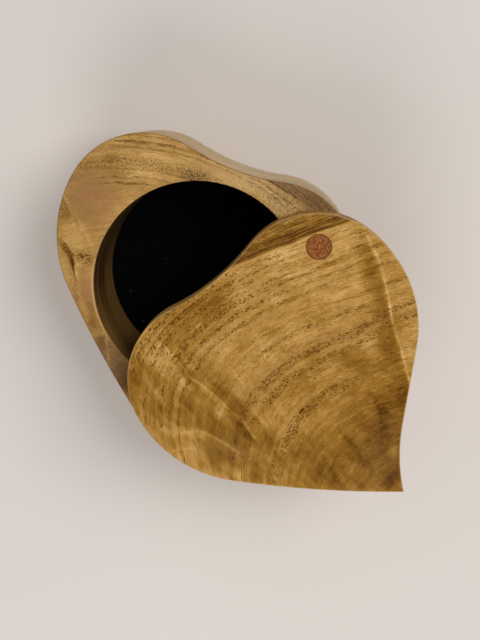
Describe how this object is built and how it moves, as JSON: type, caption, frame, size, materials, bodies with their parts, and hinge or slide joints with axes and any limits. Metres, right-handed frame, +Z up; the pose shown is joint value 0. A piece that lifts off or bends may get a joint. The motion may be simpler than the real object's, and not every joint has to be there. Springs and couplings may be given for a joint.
{
  "type": "trinket box",
  "caption": "Heart-shaped wooden trinket box with a round bored cavity, a felt-lined floor and a lid that swivels on a wooden peg.",
  "frame": {"origin": "on the flat underside, where the axis of the round cavity meets it", "axes": "+Z up along the cavity's axis; -Y from the cavity towards the heart's tip; +X towards the lobe that holds the peg"},
  "size_m": [0.1511, 0.1116, 0.0508],
  "materials": {
    "body_wood": "satin oil finish on figured honey-brown hardwood",
    "lid_wood": "satin oil finish on figured honey-brown hardwood with a dark heartwood band",
    "peg_wood": "end grain of a reddish hardwood dowel, sanded flush",
    "liner_felt": "matt black felt"
  },
  "bodies": {
    "box": {"box_body": "body_wood", "cavity_liner": "liner_felt"},
    "swivel_lid": {"lid": "lid_wood", "pivot_peg": "peg_wood"}
  },
  "joints": [
    {"name": "lid_swivel", "type": "hinge", "parent": "box", "child": "swivel_lid", "pos_m": [0.03584, 0.02913, 0.041], "axis": [0, 0, 1], "continuous": true}
  ]
}
